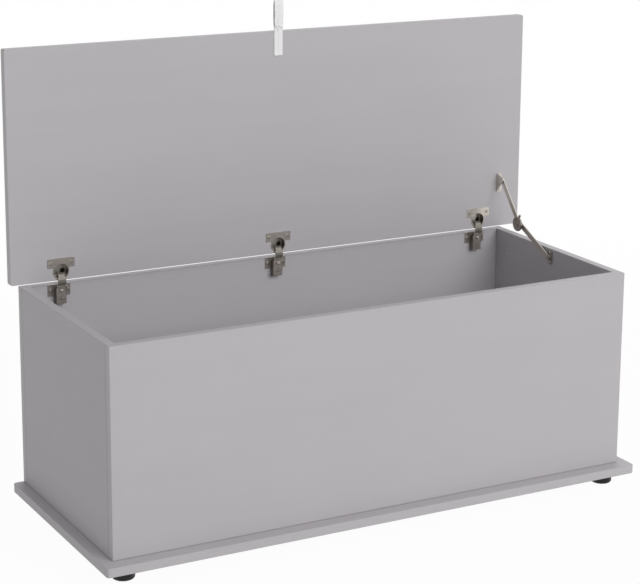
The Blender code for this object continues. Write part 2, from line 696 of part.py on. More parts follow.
def add_pin(carrier, name, pivot, from_x, arm_face_x):
    """A rivet on a bracket: a pin through the arm's bore and a head past the arm's face."""
    toward = 1 if arm_face_x > from_x else -1
    head_start = arm_face_x + toward * STAY_LAYER_GAP
    head_end = head_start + toward * STAY_HEAD_SHEET
    pin_start = from_x - toward * STAY_EAR_SHEET / 2
    pin_end = head_end - toward * STAY_HEAD_SHEET / 2
    pin_middle = (pin_start + pin_end) / 2
    head_middle = (head_start + head_end) / 2
    pin = rod(f"pin {name}", (pin_middle, *pivot), STAY_PIN_RADIUS, abs(pin_end - pin_start))
    head = rod(f"head {name}", (head_middle, *pivot), STAY_HEAD_RADIUS, STAY_HEAD_SHEET)
    combine(carrier, pin, "UNION")
    combine(carrier, head, "UNION")


def make_wall_bracket(carcass):
    """The plate on the right side panel, with a boss and the lower arm's pin."""
    y, z = STAY_WALL_PIVOT
    outer = INNER_SIDE - SEAM
    inner = outer - WALL_BRACKET_SHEET
    half_width, half_height = WALL_BRACKET_WIDTH / 2, WALL_BRACKET_HEIGHT / 2
    outline = rounded_rectangle((y - half_width, z - half_height), (y + half_width, z + half_height),
                                WALL_BRACKET_ROUND)
    bracket = side_plate("stay_wall_bracket", outline, inner, outer)
    boss_end = LOWER_ARM_LAYER + STAY_ARM_SHEET + STAY_LAYER_GAP
    boss_start = outer - WALL_BRACKET_SHEET / 2
    boss = rod("boss stay_wall_bracket", ((boss_start + boss_end) / 2, y, z), WALL_BOSS_RADIUS,
               boss_start - boss_end)
    combine(bracket, boss, "UNION")
    add_pin(bracket, "wall", STAY_WALL_PIVOT, boss_end, LOWER_ARM_LAYER)
    finish(bracket, nickel_finish(bracket.name), carcass)


def make_stay_arm(name, pivot, layer, axis):
    """A flat bar with round ends: a running bore at the pivot that carries it, an eye at the knuckle."""
    bar = side_plate(name, bar_outline(pivot, KNUCKLE, STAY_ARM_WIDTH / 2), layer, layer + STAY_ARM_SHEET)
    through = 2 * STAY_ARM_SHEET + OVERRUN
    bore = rod(f"bore {name}", (layer, *pivot), STAY_PIN_RADIUS + PIVOT_CLEARANCE, through)
    eye = rod(f"eye {name}", (layer, *KNUCKLE), DRUM_STUB_RADIUS + PIVOT_CLEARANCE, through)
    combine(bar, bore, "DIFFERENCE")
    combine(bar, eye, "DIFFERENCE")
    finish(bar, nickel_finish(name), axis)


def make_drum(upper_axis):
    """The knuckle's drum on the upper arm's lower end, with a stub through that arm's eye."""
    back = UPPER_ARM_LAYER - SEAM
    front = back - DRUM_THICKNESS
    drum = rod("stay_drum", ((back + front) / 2, *KNUCKLE), DRUM_RADIUS, DRUM_THICKNESS,
               steps=ROUND_STEPS)
    round_edges(drum, DRUM_ROUND)
    middle = (front + back) / 2
    boss_start = front - DRUM_BOSS_PROUD
    stub_end = UPPER_ARM_LAYER + STAY_ARM_SHEET
    boss = rod("boss stay_drum", ((boss_start + middle) / 2, *KNUCKLE), DRUM_BOSS_RADIUS,
               middle - boss_start)
    stub = rod("stub stay_drum", ((middle + stub_end) / 2, *KNUCKLE), DRUM_STUB_RADIUS,
               stub_end - middle)
    combine(drum, boss, "UNION")
    combine(drum, stub, "UNION")
    finish(drum, dark_nickel_finish(drum.name), upper_axis)


def make_knob(upper_axis):
    """The small friction screw that stands on the drum's rim: a thin neck and a round head."""
    x = UPPER_ARM_LAYER - SEAM - DRUM_THICKNESS / 2
    head_start = DRUM_RADIUS + SEAM + KNOB_NECK_LENGTH
    profile = [(0, head_start + KNOB_LENGTH), (KNOB_RADIUS - DRUM_ROUND, head_start + KNOB_LENGTH)]
    profile += [(KNOB_RADIUS, head_start + KNOB_LENGTH - DRUM_ROUND), (KNOB_RADIUS, head_start)]
    profile += [(KNOB_NECK_RADIUS, head_start), (KNOB_NECK_RADIUS, DRUM_RADIUS + SEAM)]
    profile += [(0, DRUM_RADIUS + SEAM)]
    knob = turned("stay_knob", profile, SMALL_ROUND_STEPS)
    knob.rotation_euler = (math.radians(KNOB_ANGLE_DEG - 90), 0, 0)
    knob.location = (x, *KNUCKLE)
    finish(knob, dark_nickel_finish(knob.name), upper_axis)


def make_stay(carcass, lid_axis, upper_axis, lower_axis):
    """The folding stay: two brackets, two arms in neighbouring layers, and the knuckle's drum."""
    make_lid_bracket(lid_axis)
    make_wall_bracket(carcass)
    make_stay_arm("stay_upper_arm", STAY_LID_PIVOT, UPPER_ARM_LAYER, upper_axis)
    make_stay_arm("stay_lower_arm", STAY_WALL_PIVOT, LOWER_ARM_LAYER, lower_axis)
    make_drum(upper_axis)
    make_knob(upper_axis)


def make_strap(lid_axis):
    """The ribbon pull: two plies sewn flat on the lid's face, opening into a loop past its edge."""
    x = -STRAP_LEFT_OF_MIDDLE
    back = LID_FACE - STRAP_SEAT_GAP
    front = back - 2 * STRAP_PLY
    middle = (front + back) / 2
    sewn_top = LID_TOP + STRAP_SEWN_PAST_EDGE
    strap = box("pull_strap", (x - STRAP_WIDTH / 2, front, LID_TOP - STRAP_TAIL),
                (x + STRAP_WIDTH / 2, back, sewn_top))
    loop_start = LID_TOP + STRAP_SEWN_PAST_EDGE / 2
    height = LID_TOP + STRAP_LOOP - STRAP_PLY / 2 - loop_start
    front_ply = [(middle - out * STRAP_LOOP_HALF_GAP, loop_start + up * height)
                 for up, out in STRAP_LOOP_SHARES]
    back_ply = [(2 * middle - y, z) for y, z in reversed(front_ply[1:])]
    top = [(middle, loop_start + height)]
    loop = bent_strip("loop pull_strap", front_ply + top + back_ply, x, STRAP_WIDTH, STRAP_PLY,
                      cyclic=True)
    combine(strap, loop, "UNION")
    finish(strap, ribbon_finish(strap.name), lid_axis)


def make_chest():
    """Build the chest from the box outwards."""
    carcass = make_axis("carcass", (0, 0, 0))
    link_axis = make_axis("link_axis", (0, *ARM_PIVOT), carcass)
    lid_axis = make_axis("lid_axis", (0, *LID_PIVOT), link_axis)
    upper_axis = make_axis("stay_upper_axis", (UPPER_ARM_LAYER, *STAY_LID_PIVOT), lid_axis)
    lower_axis = make_axis("stay_lower_axis", (LOWER_ARM_LAYER, *STAY_WALL_PIVOT), carcass)
    make_walls(carcass)
    make_glides(carcass)
    end = HALF_LENGTH - HINGE_FROM_END
    hinges = (("left", -end), ("centre", -MIDDLE_HINGE_LEFT), ("right", end))
    for place, x in hinges:
        make_mounting_plate(f"mounting_plate_{place}", x, carcass)
        make_arm(f"hinge_arm_{place}", x, carcass)
        make_link(f"hinge_link_{place}", x, link_axis)
        make_cup(f"hinge_cup_{place}", x, lid_axis)
    make_lid([x for _, x in hinges], lid_axis)
    make_stay(carcass, lid_axis, upper_axis, lower_axis)
    make_strap(lid_axis)


make_chest()
for joint, turn in closing_turns().items():
    print(f"{joint}: {turn:.4f} degrees from open to shut")
for axis_name, axis_place in (("arm pivot", ARM_PIVOT), ("lid pivot", LID_PIVOT),
                              ("stay lid pivot", STAY_LID_PIVOT), ("stay wall pivot", STAY_WALL_PIVOT),
                              ("knuckle", KNUCKLE)):
    print(f"{axis_name}: y {axis_place[0]:.6f} z {axis_place[1]:.6f}")
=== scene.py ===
"""Looks of the long storage chest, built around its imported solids.

Faced boards with edge banding, plated hinges and a folding stay with their screws, a woven
ribbon pull, moulded glides, and a plain pale studio. Metres, +X right, +Y back, +Z up.
"""

import logging
import math
from dataclasses import dataclass
from enum import Enum
from typing import Callable, Sequence

import bmesh
import bpy
from mathutils import Matrix, Vector


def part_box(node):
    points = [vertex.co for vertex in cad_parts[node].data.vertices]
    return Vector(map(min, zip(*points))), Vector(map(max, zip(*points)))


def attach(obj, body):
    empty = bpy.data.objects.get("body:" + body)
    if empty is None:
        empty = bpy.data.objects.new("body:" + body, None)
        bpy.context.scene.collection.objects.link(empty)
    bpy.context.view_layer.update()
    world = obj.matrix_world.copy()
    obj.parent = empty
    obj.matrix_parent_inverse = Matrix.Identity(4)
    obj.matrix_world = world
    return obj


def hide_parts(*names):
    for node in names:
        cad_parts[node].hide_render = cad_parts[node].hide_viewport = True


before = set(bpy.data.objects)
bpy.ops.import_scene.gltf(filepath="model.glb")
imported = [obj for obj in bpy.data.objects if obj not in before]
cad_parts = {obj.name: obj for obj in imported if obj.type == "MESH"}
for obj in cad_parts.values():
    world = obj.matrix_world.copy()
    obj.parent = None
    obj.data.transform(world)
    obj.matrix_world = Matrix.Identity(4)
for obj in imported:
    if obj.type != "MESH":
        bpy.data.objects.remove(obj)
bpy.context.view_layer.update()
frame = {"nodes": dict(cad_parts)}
NODES: dict[str, bpy.types.Object] = frame["nodes"]

logging.basicConfig(level=logging.INFO, format="%(message)s")
LOG = logging.getLogger("chest")

Material = bpy.types.Material
Node = bpy.types.Node
Socket = bpy.types.NodeSocket
Thing = bpy.types.Object
Place = tuple[float, float, float]
Colour = tuple[float, float, float]
Span = tuple[float, float]

HINGE_PLACES = ("left", "centre", "right")
SIDES = (("left", -1), ("right", 1))
LEVELS = ("lower", "upper")
EVEN: Place = (1.0, 1.0, 1.0)
FRONT_VIEW: Place = (1.0, 0.0, 1.0)
WHITE = (1.0, 1.0, 1.0, 1.0)
RISING: Span = (0.0, 1.0)
FALLING: Span = (1.0, 0.0)
FLOAT = "NodeSocketFloat"
VECTOR = "NodeSocketVector"
TINY = 1e-12


class Slot(Enum):
    """Two material slot names; no piece in this script takes them."""

    NICKEL = "nickel"
    RIBBON = "ribbon"


class Body(Enum):
    """The bodies that the added pieces ride on."""

    CARCASS = "carcass"
    LID = "lid"


class Facing(Enum):
    """The frame directions that a screw's head may face."""

    FRONT = (0, -1, 0)
    LEFT = (-1, 0, 0)


def clamp(value: float) -> float:
    """A value kept between 0 and 1."""
    return min(max(value, 0.0), 1.0)


# ---- node building ----


@dataclass(frozen=True)
class Noise:
    """How fine, how detailed and how rough a noise pattern is."""

    scale: float
    detail: float = 2.0
    roughness: float = 0.5


class Graph:
    """A node tree with short ways to add and join nodes."""

    def __init__(self, tree: bpy.types.NodeTree) -> None:
        """Keep the tree that nodes are added to."""
        self.tree = tree

    def feed(self, target: Socket, value: object) -> None:
        """Link a socket to an input, or set the input's own value.

        Args:
            target: the input.
            value: a socket, a value, or None to leave the input as it is.
        """
        if isinstance(value, Socket):
            self.tree.links.new(value, target)
        elif value is not None:
            target.default_value = value

    def fill(self, node: Node, inputs: dict[str, object]) -> Node:
        """Feed a node's inputs by their names.

        Args:
            node: the node.
            inputs: socket names with spaces as underscores, and a socket or a value for each.

        Returns:
            The node.
        """
        for name, value in inputs.items():
            self.feed(node.inputs[name.replace("_", " ")], value)
        return node

    def add(self, kind: str, **inputs: object) -> Node:
        """Add a node of a kind and feed its inputs by their names."""
        return self.fill(self.tree.nodes.new(kind), inputs)

    def operate(self, kind: str, operation: str, values: Sequence[object]) -> Node:
        """Add a node that has an operation, and feed its inputs in their order.

        Args:
            kind: the node's type name.
            operation: what it does.
            values: a socket, a value or None for each input.

        Returns:
            The new node.
        """
        node = self.tree.nodes.new(kind)
        node.operation = operation
        for target, value in zip(node.inputs, values):
            self.feed(target, value)
        return node

    def math(self, operation: str, *values: object) -> Socket:
        """One arithmetic step."""
        return self.operate("ShaderNodeMath", operation, values).outputs[0]

    def vector(self, operation: str, *values: object) -> Socket:
        """One vector step that gives a vector."""
        return self.operate("ShaderNodeVectorMath", operation, values).outputs["Vector"]

    def length(self, vector: Socket) -> Socket:
        """A vector's length."""
        return self.operate("ShaderNodeVectorMath", "LENGTH", (vector,)).outputs["Value"]

    def split(self, vector: Socket) -> tuple[Socket, Socket, Socket]:
        """The three parts of a vector."""
        parts = self.add("ShaderNodeSeparateXYZ", Vector=vector).outputs
        return parts[0], parts[1], parts[2]

    def step(self, value: object, limits: Span, results: Span = RISING) -> Socket:
        """A smooth step of a value between two limits.

        Args:
            value: what is stepped.
            limits: where the step begins and ends.
            results: what it gives at the two limits.

        Returns:
            The stepped value.
        """
        node = self.tree.nodes.new("ShaderNodeMapRange")
        node.interpolation_type = "SMOOTHSTEP"
        names = ("Value", "From_Min", "From_Max", "To_Min", "To_Max")
        self.fill(node, dict(zip(names, (value, *limits, *results))))
        return node.outputs[0]

    def noise(self, position: Socket, kind: Noise) -> Socket:
        """Noise between 0 and 1 at a place."""
        return self.add("ShaderNodeTexNoise", Vector=position, Scale=kind.scale, Detail=kind.detail,
                        Roughness=kind.roughness).outputs[0]

    def wave(self, value: Socket, turn: float) -> Socket:
        """A sine wave between 0 and 1 along a value, turn radians to its unit."""
        sine = self.math("SINE", self.math("MULTIPLY", value, turn))
        return self.math("MULTIPLY_ADD", sine, 0.5, 0.5)

    def weigh(self, share: float, first: Socket, second: Socket) -> Socket:
        """Two values in one, the first by a share and the second by the rest."""
        rest = self.math("MULTIPLY", second, 1.0 - share)
        return self.math("ADD", self.math("MULTIPLY", first, share), rest)

    def off(self, value: Socket, middle: float) -> Socket:
        """How far a value is from a middle one."""
        return self.math("ABSOLUTE", self.math("SUBTRACT", value, middle))

    def blend(self, share: Socket, first: object, second: object) -> Socket:
        """A colour between two, by a share.

        Args:
            share: 0 for the first, 1 for the second.
            first: a colour or its socket.
            second: a colour or its socket.

        Returns:
            The colour.
        """
        node = self.tree.nodes.new("ShaderNodeMix")
        node.data_type = "RGBA"
        colours = [socket for socket in node.inputs if socket.type == "RGBA"]
        for target, value in zip((node.inputs[0], *colours), (share, opaque(first), opaque(second))):
            self.feed(target, value)
        return next(socket for socket in node.outputs if socket.type == "RGBA")

    def brighten(self, colour: object, factor: object) -> Socket:
        """A colour times a value, which is a vector node's fourth input."""
        return self.vector("SCALE", colour, None, None, factor)

    def bump(self, height: Socket, distance: float) -> Socket:
        """A normal from a height."""
        return self.add("ShaderNodeBump", Height=height, Distance=distance, Strength=1.0).outputs[0]

    def looked_at(self) -> Socket:
        """What the camera sees, straight, mirrored or through glass, apart from what light meets.

        Returns:
            1 on such rays and 0 on all others.
        """
        rays = self.add("ShaderNodeLightPath").outputs
        seen = self.math("MAXIMUM", rays["Is Camera Ray"], rays["Is Glossy Ray"])
        return self.math("MAXIMUM", seen, rays["Is Transmission Ray"])


def opaque(colour: object) -> object:
    """A colour with its alpha, or a socket as it is."""
    return colour if isinstance(colour, Socket) else (*colour, 1.0)


class Surface(Graph):
    """A new material's nodes, around its Principled shader."""

    def __init__(self, name: str) -> None:
        """Start a material.

        Args:
            name: the material's name.
        """
        self.material = bpy.data.materials.new(name)
        self.material.use_nodes = True
        super().__init__(self.material.node_tree)
        self.shader = self.tree.nodes["Principled BSDF"]

    def place(self) -> Socket:
        """The place on the object, in metres of the frame."""
        return self.add("ShaderNodeTexCoord").outputs["Object"]

    def coat(self, **inputs: object) -> Material:
        """Feed the shader's inputs by their names, and give back the material."""
        self.fill(self.shader, inputs)
        return self.material


class Effect:
    """An effect that several materials share: a node group that is built once.

    Each kind of effect says its inputs and outputs, and joins its nodes in wire().
    """

    name: str
    inputs: dict[str, str]
    outputs: tuple[str, ...]
    tree: bpy.types.NodeTree | None = None

    @classmethod
    def put(cls, graph: Graph, **values: object) -> dict[str, Socket]:
        """Put the effect into a material.

        Args:
            graph: the material's nodes.
            values: a socket or a value for each of the group's inputs.

        Returns:
            The effect's outputs by name.
        """
        if cls.tree is None:
            cls.tree = cls.build()
        node = graph.tree.nodes.new("ShaderNodeGroup")
        node.node_tree = cls.tree
        graph.fill(node, values)
        return {name: node.outputs[name] for name in cls.outputs}

    @classmethod
    def build(cls) -> bpy.types.NodeTree:
        """Make the group with its sockets and its nodes.

        Returns:
            The group.
        """
        tree = bpy.data.node_groups.new(cls.name, "ShaderNodeTree")
        for label, kind in cls.inputs.items():
            tree.interface.new_socket(name=label, in_out="INPUT", socket_type=kind)
        for label in cls.outputs:
            tree.interface.new_socket(name=label, in_out="OUTPUT", socket_type=FLOAT)
        graph = Graph(tree)
        given = tree.nodes.new("NodeGroupInput").outputs
        made = cls.wire(graph, *(given[label] for label in cls.inputs))
        graph.fill(tree.nodes.new("NodeGroupOutput"), dict(zip(cls.outputs, made)))
        return tree

    @classmethod
    def wire(cls, graph: Graph, *given: Socket) -> tuple[Socket, ...]:
        """Join the nodes from the inputs to the outputs, in the order that the effect says."""
        raise NotImplementedError


class EdgeBand(Effect):
    """Where a board's edge banding, its rounded arris and its glue line lie."""

    name = "edge_band"
    inputs = {"Across": FLOAT, "Inward": FLOAT, "Band": FLOAT}
    outputs = ("Arris", "Narrow", "Seam")
    arris_shares: Span = (0.62, 1.02)
    narrow_fade: Span = (0.00008, 0.0005)
    seam_share = 1.08
    seam_fade: Span = (0.00005, 0.00016)
    face_fade: Span = (0.00005, 0.0003)

    @classmethod
    def wire(cls, graph: Graph, across: Socket, inward: Socket, band: Socket) -> tuple[Socket, ...]:
        """Join the nodes.

        Args:
            graph: the group's nodes.
            across: the distance to the nearer face.
            inward: the distance to the nearer edge.
            band: the banding's thickness.

        Returns:
            The arris, the narrow side and the seam, each from 0 to 1.
        """
        furthest = graph.math("MAXIMUM", across, inward)
        arris = graph.step(graph.math("DIVIDE", furthest, band), cls.arris_shares, FALLING)
        narrow = graph.step(inward, cls.narrow_fade, FALLING)
        seam = graph.math("SUBTRACT", inward, graph.math("MULTIPLY", band, cls.seam_share))
        line = graph.step(graph.math("ABSOLUTE", seam), cls.seam_fade, FALLING)
        on_face = graph.step(across, cls.face_fade, FALLING)
        return arris, narrow, graph.math("MULTIPLY", line, on_face)


class Pearl(Effect):
    """The fine pearl of a melamine face, and its slow change of tone with streaks along the board."""

    name = "pearl"
    inputs = {"Position": VECTOR, "Grain": VECTOR}
    outputs = ("Height", "Tone")
    fine = Noise(1400.0, 2.0, 0.55)
    pits = Noise(420.0, 1.0)
    clouds = Noise(5.0, 3.0)
    streaks = Noise(26.0, 4.0, 0.62)
    fine_share = 0.55
    streak_share = 0.55

    @classmethod
    def wire(cls, graph: Graph, position: Socket, grain: Socket) -> tuple[Socket, ...]:
        """Join the nodes.

        Args:
            graph: the group's nodes.
            position: the place on the board.
            grain: the pattern's scale along each axis.

        Returns:
            The height and the tone.
        """
        fine = graph.noise(position, cls.fine)
        pits = graph.noise(position, cls.pits)
        clouds = graph.noise(position, cls.clouds)
        streaks = graph.noise(graph.vector("MULTIPLY", position, grain), cls.streaks)
        return graph.weigh(cls.fine_share, fine, pits), graph.weigh(cls.streak_share, streaks, clouds)


class Plating(Effect):
    """Plated pressed sheet: drawn lines, soft blotches and small handling marks."""

    name = "plating"
    inputs = {"Position": VECTOR, "Lines": VECTOR}
    outputs = ("Height", "Tone", "Dullness")
    drawn = Noise(260.0, 3.0, 0.6)
    blotches = Noise(120.0)
    marks = Noise(900.0, 1.0)
    mark_limits: Span = (0.62, 0.74)
    mark_height = 0.25
    line_share = 0.6

    @classmethod
    def wire(cls, graph: Graph, position: Socket, lines: Socket) -> tuple[Socket, ...]:
        """Join the nodes.

        Args:
            graph: the group's nodes.
            position: the place on the piece.
            lines: the drawn lines' scale along each axis.

        Returns:
            The height, the tone and the dullness.
        """
        drawn = graph.noise(graph.vector("MULTIPLY", position, lines), cls.drawn)
        marks = graph.step(graph.noise(position, cls.marks), cls.mark_limits)
        height = graph.math("ADD", drawn, graph.math("MULTIPLY", marks, cls.mark_height))
        return height, graph.noise(position, cls.blotches), graph.weigh(cls.line_share, drawn, marks)


# ---- finishes ----


@dataclass(frozen=True)
class FacedBoard:
    """Warm grey melamine facing, with edge banding of the same colour and darker arrises.

    The board's box tells the shader where its faces and edges are.
    """

    face: Colour = (0.497, 0.479, 0.497)
    band: Colour = (0.502, 0.485, 0.502)
    arris: Colour = (0.475, 0.458, 0.475)
    glue: Colour = (0.430, 0.413, 0.426)
    glue_share: float = 0.7
    tone_spread: float = 0.055
    grain_share: float = 0.07
    face_roughness: float = 0.56
    band_roughness: float = 0.50
    pearl_depth: float = 0.000035
    band_thickness: float = 0.001
    specular: float = 0.38

    def make(self, name: str, low: Vector, high: Vector) -> Material:
        """Make the finish of one board.

        Args:
            name: the board's name.
            low: its lowest corner.
            high: its highest corner.

        Returns:
            The material.
        """
        surface = Surface(f"{name} facing")
        place = surface.place()
        size = high - low
        thin = min(range(3), key=lambda axis: size[axis])
        long_way = max(range(3), key=lambda axis: size[axis])
        centred = surface.vector("SUBTRACT", place, tuple((low + high) / 2))
        reach = surface.vector("ABSOLUTE", centred)
        inside = surface.split(surface.vector("SUBTRACT", tuple(size / 2), reach))
        edges = [inside[axis] for axis in range(3) if axis != thin]
        band = EdgeBand.put(surface, Across=surface.math("ABSOLUTE", inside[thin]),
                            Inward=surface.math("ABSOLUTE", surface.math("MINIMUM", *edges)),
                            Band=self.band_thickness)
        grain = [self.grain_share if axis == long_way else 1.0 for axis in range(3)]
        pearl = Pearl.put(surface, Position=place, Grain=grain)
        spread = surface.math("MULTIPLY", pearl["Tone"], 2 * self.tone_spread)
        tone = surface.math("ADD", spread, 1.0 - self.tone_spread)
        colour = surface.blend(band["Narrow"], self.face, self.band)
        colour = surface.brighten(colour, tone)
        colour = surface.blend(band["Arris"], colour, self.arris)
        seam = surface.math("MULTIPLY", band["Seam"], self.glue_share)
        dull = surface.step(band["Narrow"], RISING, (self.face_roughness, self.band_roughness))
        return surface.coat(Base_Color=surface.blend(seam, colour, self.glue), Roughness=dull,
                            Normal=surface.bump(pearl["Height"], self.pearl_depth),
                            Specular_IOR_Level=self.specular)


@dataclass(frozen=True)
class PlatedSteel:
    """Plated pressed steel, brighter or darker by its tint, with painted shade where asked: a dark spot
    in a recess behind a face, or darker side walls of a bent channel.
    """

    tint: Colour
    shade: Colour
    roughness: float
    roughness_spread: float = 0.16
    line_depth: float = 0.000012
    lines: Place = (1.0, 1.0, 0.08)
    metallic: float = 1.0
    # Painted shade in a recess: how dark, how wide, and how far behind the face.
    painted_shade_share: float = 0.02
    painted_shade_radii: Span = (0.0030, 0.0075)
    painted_shade_rim_share: float = 0.05
    painted_shade_depths: Span = (-0.0004, 0.0030)
    # Painted shade on a channel's side walls: how dark, and where it fades in.
    painted_shade_wall_share: float = 0.30
    painted_shade_wall_depths: Span = (0.0007, 0.0002)

    def make(self, name: str, painted_shade_at: Vector | None = None, shaded_walls: Span | None = None) -> Material:
        """Make the finish.

        Args:
            name: the material's name.
            painted_shade_at: the middle of a dark spot of painted shade behind the face that it lies
                in, or None.
            shaded_walls: the two X places of a bent channel's side walls, which get painted shade, or
                None.

        Returns:
            The material.
        """
        surface = Surface(name)
        place = surface.place()
        plate = Plating.put(surface, Position=place, Lines=self.lines)
        colour = surface.blend(plate["Tone"], self.tint, self.shade)
        if painted_shade_at is not None:
            # Painted shade: a dark spot in the recess behind the face.
            spot = self.spot(surface, place, painted_shade_at)
            colour = surface.blend(spot, colour, surface.brighten(colour, self.painted_shade_share))
        # Painted shade darkens the channel's side walls.
        if shaded_walls is not None:
            half = (shaded_walls[1] - shaded_walls[0]) / 2
            off_middle = surface.off(surface.split(place)[0], sum(shaded_walls) / 2)
            side = surface.step(off_middle, (half - self.painted_shade_wall_depths[0], half - self.painted_shade_wall_depths[1]))
            colour = surface.blend(side, colour, surface.brighten(colour, self.painted_shade_wall_share))
        spread = surface.math("MULTIPLY", plate["Dullness"], self.roughness_spread)
        dull = surface.math("ADD", spread, self.roughness - self.roughness_spread / 2)
        return surface.coat(Base_Color=colour, Roughness=dull, Metallic=self.metallic,
                            Normal=surface.bump(plate["Height"], self.line_depth))

    def spot(self, surface: Surface, place: Socket, middle: Vector) -> Socket:
        """Where the spot of painted shade lies.

        Args:
            surface: the material's nodes.
            place: the place on the object.
            middle: the spot's middle, on the face that it lies behind.

        Returns:
            How much painted shade the place gets, from 0 to 1.
        """
        away = surface.vector("SUBTRACT", place, tuple(middle))
        across = surface.length(surface.vector("MULTIPLY", away, FRONT_VIEW))
        near = surface.step(across, self.painted_shade_radii, (1.0, self.painted_shade_rim_share))
        deep = surface.step(surface.split(away)[1], self.painted_shade_depths)
        return surface.math("MULTIPLY", near, deep)


@dataclass(frozen=True)
class MouldedPlastic:
    """Black moulded plastic with a fine spark-eroded grain."""

    colour: Colour = (0.006, 0.0058, 0.0062)
    scuffed: Colour = (0.016, 0.0155, 0.0155)
    roughness: float = 0.34
    scuffed_roughness: float = 0.18
    specular: float = 0.32
    grain: Noise = Noise(1100.0, 2.0, 0.6)
    grain_depth: float = 0.00004
    scuffs: Noise = Noise(160.0, 3.0)
    scuff_limits: Span = (0.55, 0.78)

    def make(self, name: str) -> Material:
        """Make the finish.

        Args:
            name: the material's name.

        Returns:
            The material.
        """
        surface = Surface(name)
        place = surface.place()
        scuff = surface.step(surface.noise(place, self.scuffs), self.scuff_limits)
        dull = surface.math("MULTIPLY", scuff, self.scuffed_roughness)
        return surface.coat(Base_Color=surface.blend(scuff, self.colour, self.scuffed),
                            Roughness=surface.math("ADD", dull, self.roughness),
                            Normal=surface.bump(surface.noise(place, self.grain), self.grain_depth),
                            Specular_IOR_Level=self.specular)


@dataclass(frozen=True)
class WovenRibbon:
    """White woven ribbon: fine ribs across it, a firmer selvedge, and a faint lengthwise crease. Its
    colour follows the weave's height, with painted shade in the hollows and along the crease.

    It reads the ribbon's own UV map: U across in widths, V along in metres.
    """

    colour: Colour = (0.910, 0.904, 0.912)
    # The weave's hollows are painted this darker colour, as shade.
    shaded_hollow: Colour = (0.860, 0.853, 0.864)
    light_limits: Span = (0.0, 0.9)
    rib_pitch: float = 0.00062
    rib_depth: float = 0.00008
    rib_share: float = 0.7
    thread_turn: float = 210.0
    selvedge: Span = (0.452, 0.468)
    selvedge_share: float = 0.5
    crease_share: float = 0.42
    crease_width: float = 0.05
    # The crease's painted shade, in the weave's light and in the colour.
    crease_painted_hollow: float = 0.35
    crease_painted_shade: float = 0.08
    roughness: float = 0.82
    sheen: float = 0.25

    def make(self, name: str) -> Material:
        """Make the finish.

        Args:
            name: the material's name.

        Returns:
            The material.
        """
        surface = Surface(name)
        across, along, _ = surface.split(surface.add("ShaderNodeUVMap").outputs[0])
        rib = surface.wave(along, 2 * math.pi / self.rib_pitch)
        thread = surface.wave(across, self.thread_turn)
        selvedge = surface.step(surface.off(across, 0.5), self.selvedge)
        firm = surface.math("MULTIPLY", selvedge, self.selvedge_share)
        weave = surface.math("ADD", surface.weigh(self.rib_share, rib, thread), firm)
        crease = surface.step(surface.off(across, self.crease_share), (0.0, self.crease_width), FALLING)
        # The colour follows the weave's height: painted shade in its hollows and, deeper, along the
        # crease.
        light = surface.math("SUBTRACT", weave, surface.math("MULTIPLY", crease, self.crease_painted_hollow))
        colour = surface.blend(surface.step(light, self.light_limits), self.shaded_hollow, self.colour)
        # Painted shade darkens the crease further.
        darkened = surface.math("SUBTRACT", 1.0, surface.math("MULTIPLY", crease, self.crease_painted_shade))
        return surface.coat(Base_Color=surface.brighten(colour, darkened), Roughness=self.roughness,
                            Sheen_Weight=self.sheen, Normal=surface.bump(weave, self.rib_depth))


@dataclass(frozen=True)
class PaleFloor:
    """A pale floor that the camera and reflections see as nearly white, shadows apart."""

    colour: Colour = (0.74, 0.74, 0.74)
    mottle: Noise = Noise(2.0)
    mottle_span: Span = (0.985, 1.0)
    roughness: float = 0.9
    specular: float = 0.1
    distances: Span = (1.0, 2.6)
    white_shares: Span = (0.965, 0.995)

    def make(self, name: str) -> Material:
        """Make the finish.

        Args:
            name: the material's name.

        Returns:
            The material.
        """
        surface = Surface(name)
        place = surface.place()
        mottle = surface.step(surface.noise(place, self.mottle), RISING, self.mottle_span)
        surface.coat(Base_Color=surface.brighten(self.colour, mottle), Roughness=self.roughness,
                     Specular_IOR_Level=self.specular)
        glow = surface.add("ShaderNodeEmission", Color=WHITE, Strength=1.0)
        white = surface.step(surface.length(place), self.distances, self.white_shares)
        share = surface.math("MULTIPLY", surface.looked_at(), white)
        mixed = surface.add("ShaderNodeMixShader")
        for target, value in zip(mixed.inputs, (share, surface.shader.outputs[0], glow.outputs[0])):
            surface.feed(target, value)
        surface.feed(surface.tree.nodes["Material Output"].inputs["Surface"], mixed.outputs[0])
        return surface.material


NICKEL = PlatedSteel((0.74, 0.690, 0.630), (0.58, 0.540, 0.490), 0.34, metallic=0.92)
HANDLED_NICKEL = PlatedSteel((0.76, 0.690, 0.630), (0.46, 0.410, 0.370), 0.38, metallic=0.86)
STAY_NICKEL = PlatedSteel((0.54, 0.500, 0.455), (0.36, 0.330, 0.295), 0.42, metallic=0.86)
WORN_NICKEL = PlatedSteel((0.39, 0.365, 0.325), (0.27, 0.250, 0.220), 0.48, metallic=0.84)
DULL_SCREW = PlatedSteel((0.56, 0.520, 0.470), (0.42, 0.390, 0.350), 0.50, lines=EVEN)
# A brighter copy of the screw finish, which paints a glint.
PAINTED_GLINT_SCREW = PlatedSteel((0.90, 0.870, 0.800), (0.80, 0.770, 0.700), 0.22, lines=EVEN)
DARK_STEEL = PlatedSteel((0.46, 0.415, 0.385), (0.24, 0.214, 0.200), 0.36, lines=EVEN)
CAST_ALLOY = PlatedSteel((0.64, 0.630, 0.640), (0.50, 0.490, 0.500), 0.46, lines=EVEN)


# ---- modelling by hand ----


